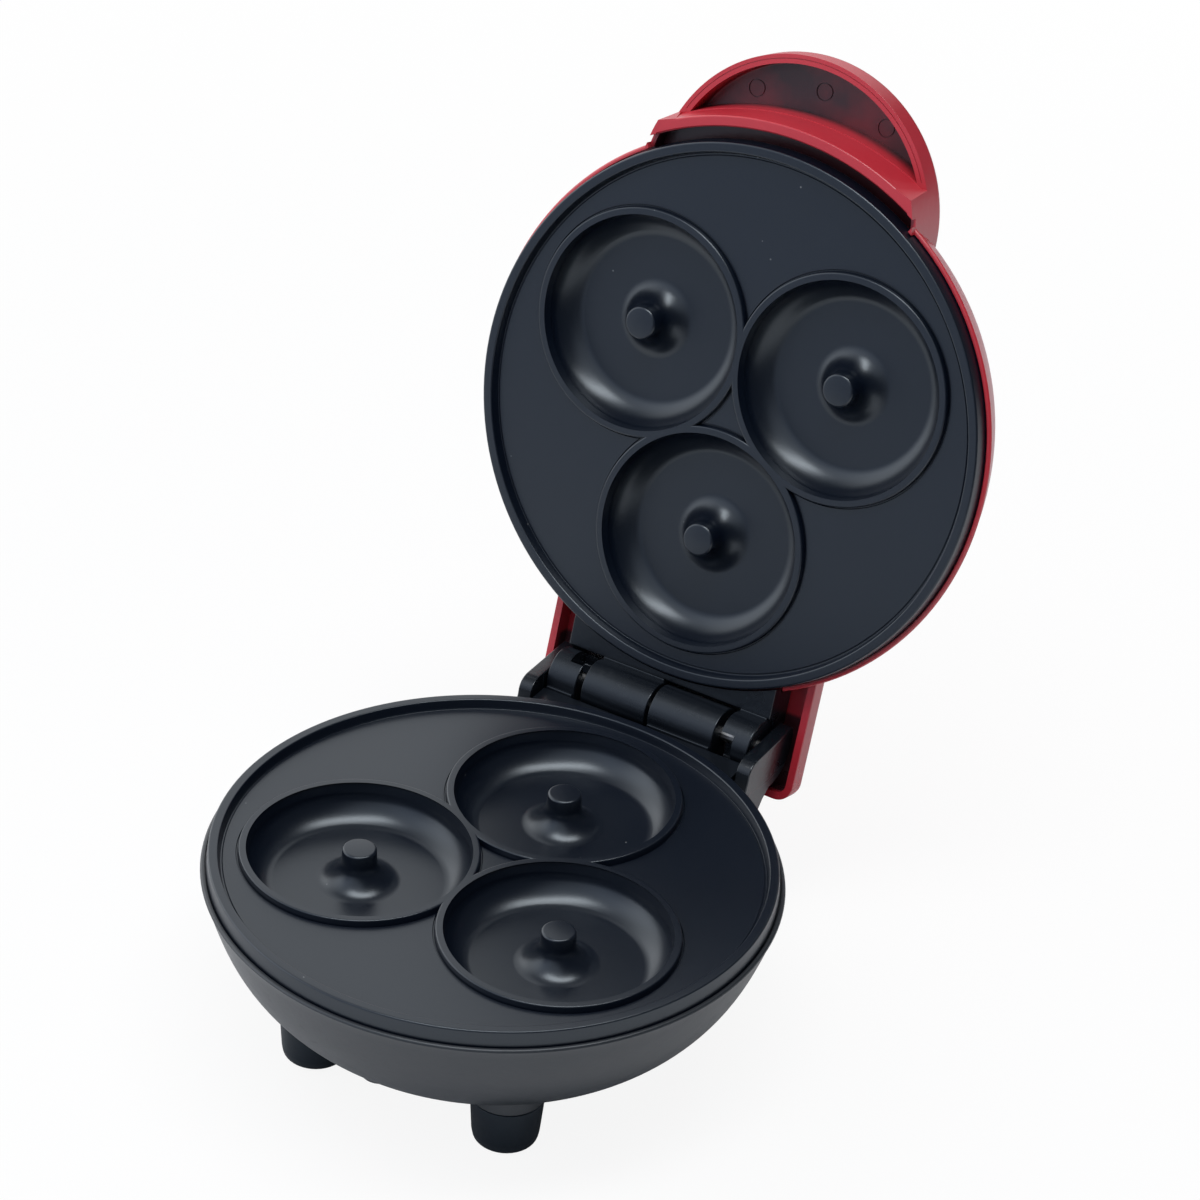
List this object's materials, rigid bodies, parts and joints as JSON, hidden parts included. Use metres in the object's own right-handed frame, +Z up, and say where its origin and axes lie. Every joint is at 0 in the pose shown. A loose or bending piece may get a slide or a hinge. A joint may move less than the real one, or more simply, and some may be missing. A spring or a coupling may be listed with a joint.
{
  "type": "mini doughnut maker",
  "caption": "Countertop doughnut maker: a round bowl on feet with a ring-cavity plate, and a domed lid with a matching plate and a D-shaped handle, opening on a rear hinge.",
  "frame": {"origin": "on the table, below the middle of the whole object's box with the lid open at rest", "axes": "+Z up, +Y towards the hinge, +X to the right seen from the front; the lid stands open at rest"},
  "size_m": [0.1272, 0.1972, 0.1898],
  "materials": {
    "red_plastic": "smooth moulded",
    "black_plastic": "satin moulded",
    "nonstick_plate": "dark non-stick coating",
    "steel": "pressed",
    "zinc_screw": "zinc plated",
    "foot_rubber": "matte",
    "element_sheath": "heat stained",
    "ceramic": "unglazed",
    "lens_plastic": "clear tinted",
    "lamp_glass": "clear"
  },
  "bodies": {
    "base": {"base_housing": "black_plastic", "base_hinge_block": "black_plastic", "base_plate": "nonstick_plate", "base_heating_element": "element_sheath", "base_heat_shield": "steel", "base_shield_screw": "zinc_screw", "plate_screw_1": "zinc_screw", "plate_screw_2": "zinc_screw", "plate_screw_3": "zinc_screw", "hinge_screw_left": "zinc_screw", "hinge_screw_right": "zinc_screw", "base_thermostat": "steel", "thermal_fuse": "ceramic", "terminal_block": "ceramic", "cord_gland": "foot_rubber", "hinge_pin": "steel", "foot_front_left": "foot_rubber", "foot_front_right": "foot_rubber", "foot_rear_left": "foot_rubber", "foot_rear_right": "foot_rubber", "foot_screw_front_left": "zinc_screw", "foot_screw_front_right": "zinc_screw", "foot_screw_rear_left": "zinc_screw", "foot_screw_rear_right": "zinc_screw"},
    "lid": {"lid_cover": "red_plastic", "lid_hinge_block": "black_plastic", "lid_plate": "nonstick_plate", "lid_heating_element": "element_sheath", "lid_heat_shield": "steel", "lid_shield_screw": "zinc_screw", "lid_thermostat": "steel", "indicator_lens": "lens_plastic", "indicator_lamp": "lamp_glass"}
  },
  "joints": [
    {"name": "lid_hinge", "type": "hinge", "parent": "base", "child": "lid", "pos_m": [0, 0.03529, 0.04575], "axis": [1, 0, 0], "range_deg": [0, 105.5]}
  ]
}
